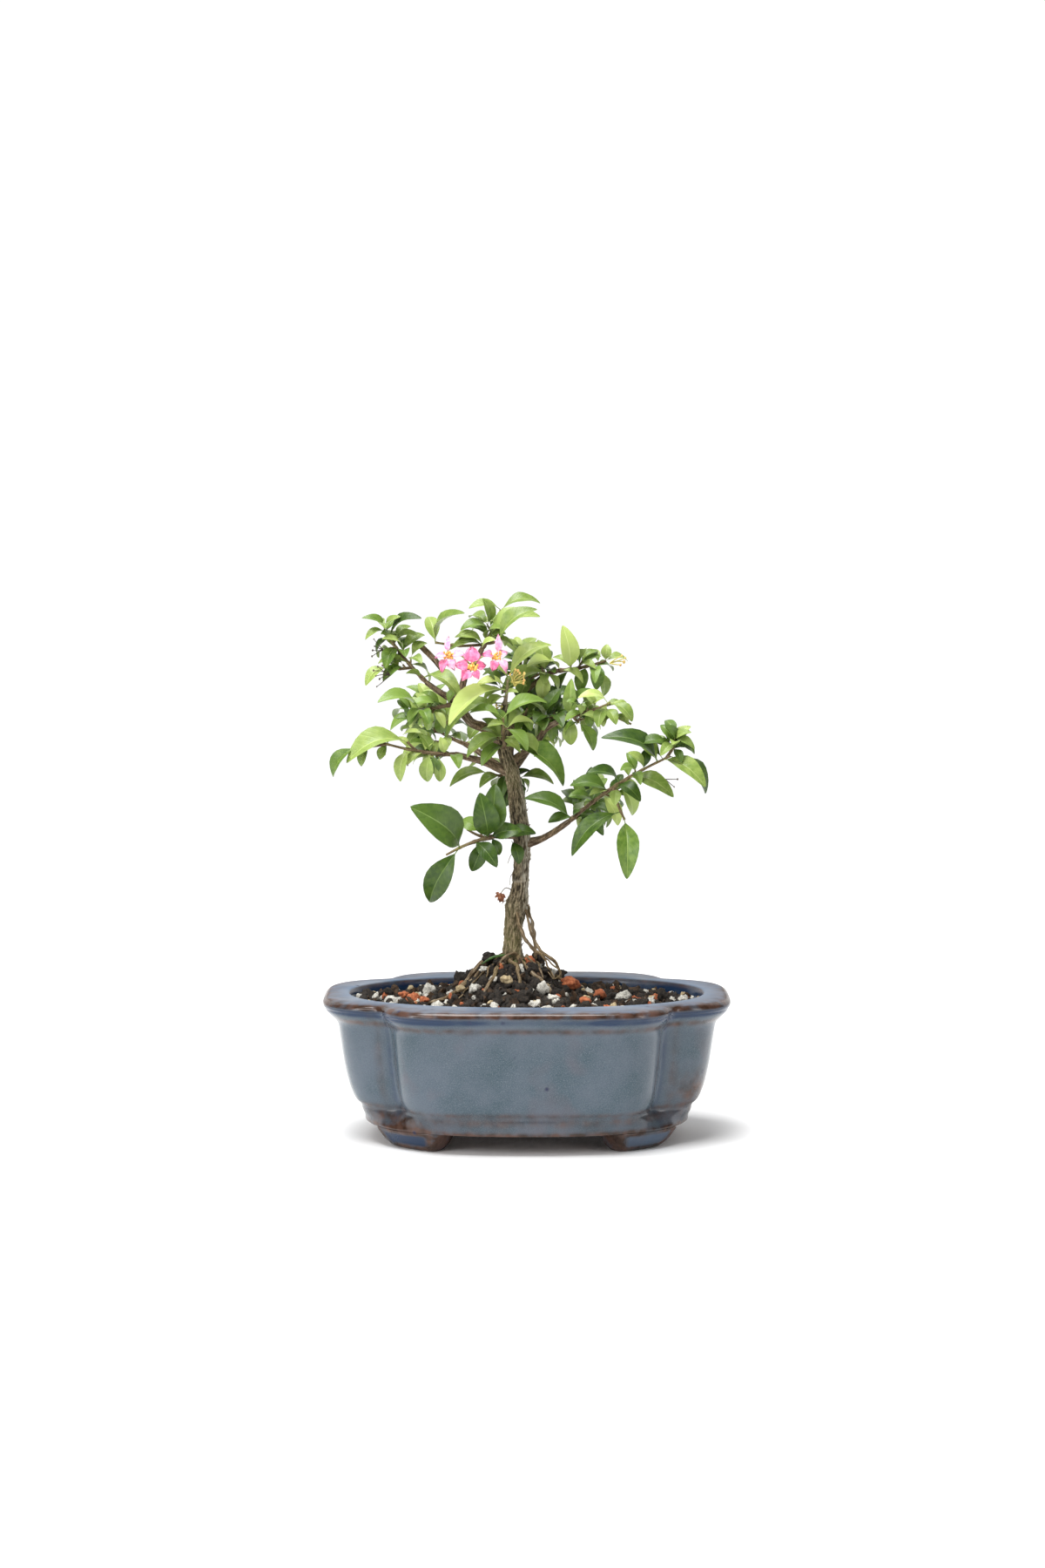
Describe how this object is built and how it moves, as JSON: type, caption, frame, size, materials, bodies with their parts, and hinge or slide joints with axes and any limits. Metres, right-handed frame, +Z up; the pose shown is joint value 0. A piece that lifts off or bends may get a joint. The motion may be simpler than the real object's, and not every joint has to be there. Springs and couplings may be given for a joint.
{
  "type": "barbados cherry bonsai",
  "caption": "Small flowering bonsai tree with a slim upright trunk and opposite oval leaves, planted in a lobed oval glazed pot on curved feet.",
  "frame": {"origin": "on the ground under the middle of the pot", "axes": "+Z up; +X along the pot's long side to the plant's right as it is shown; +Y to its back"},
  "size_m": [0.2032, 0.148, 0.2724],
  "materials": {
    "glaze_blue": "gloss glaze",
    "grit": "loose grit",
    "bark": "rough bark",
    "root_bark": "rough bark",
    "leaf": "soft sheen"
  },
  "bodies": {
    "root": {"bough_apex": "bark", "bough_back": "bark", "bough_left": "bark", "bough_low_left": "bark", "bough_low_rear": "bark", "bough_low_right": "bark", "bough_mid_left": "bark", "bough_rear": "bark", "bough_rear_left": "bark", "bough_right": "bark", "bough_upper_left": "bark", "bough_upper_right": "bark", "foliage_apex": "leaf", "foliage_back": "leaf", "foliage_front": "leaf", "foliage_inner_right": "leaf", "foliage_leader": "leaf", "foliage_left": "leaf", "foliage_low_left": "leaf", "foliage_low_right": "leaf", "foliage_mid_left": "leaf", "foliage_rear": "leaf", "foliage_rear_left": "leaf", "foliage_rear_low": "leaf", "foliage_right": "leaf", "foliage_trunk": "leaf", "foliage_upper_left": "leaf", "foliage_upper_right": "leaf", "foot_front_left": "glaze_blue", "foot_front_right": "glaze_blue", "foot_rear_left": "glaze_blue", "foot_rear_right": "glaze_blue", "pot": "glaze_blue", "prop_root_inner": "root_bark", "prop_root_outer": "root_bark", "root_front": "root_bark", "root_front_left": "root_bark", "root_front_right": "root_bark", "root_left": "root_bark", "root_right": "root_bark", "soil": "grit", "stub_upper_left": "bark", "trunk": "bark"}
  },
  "joints": []
}
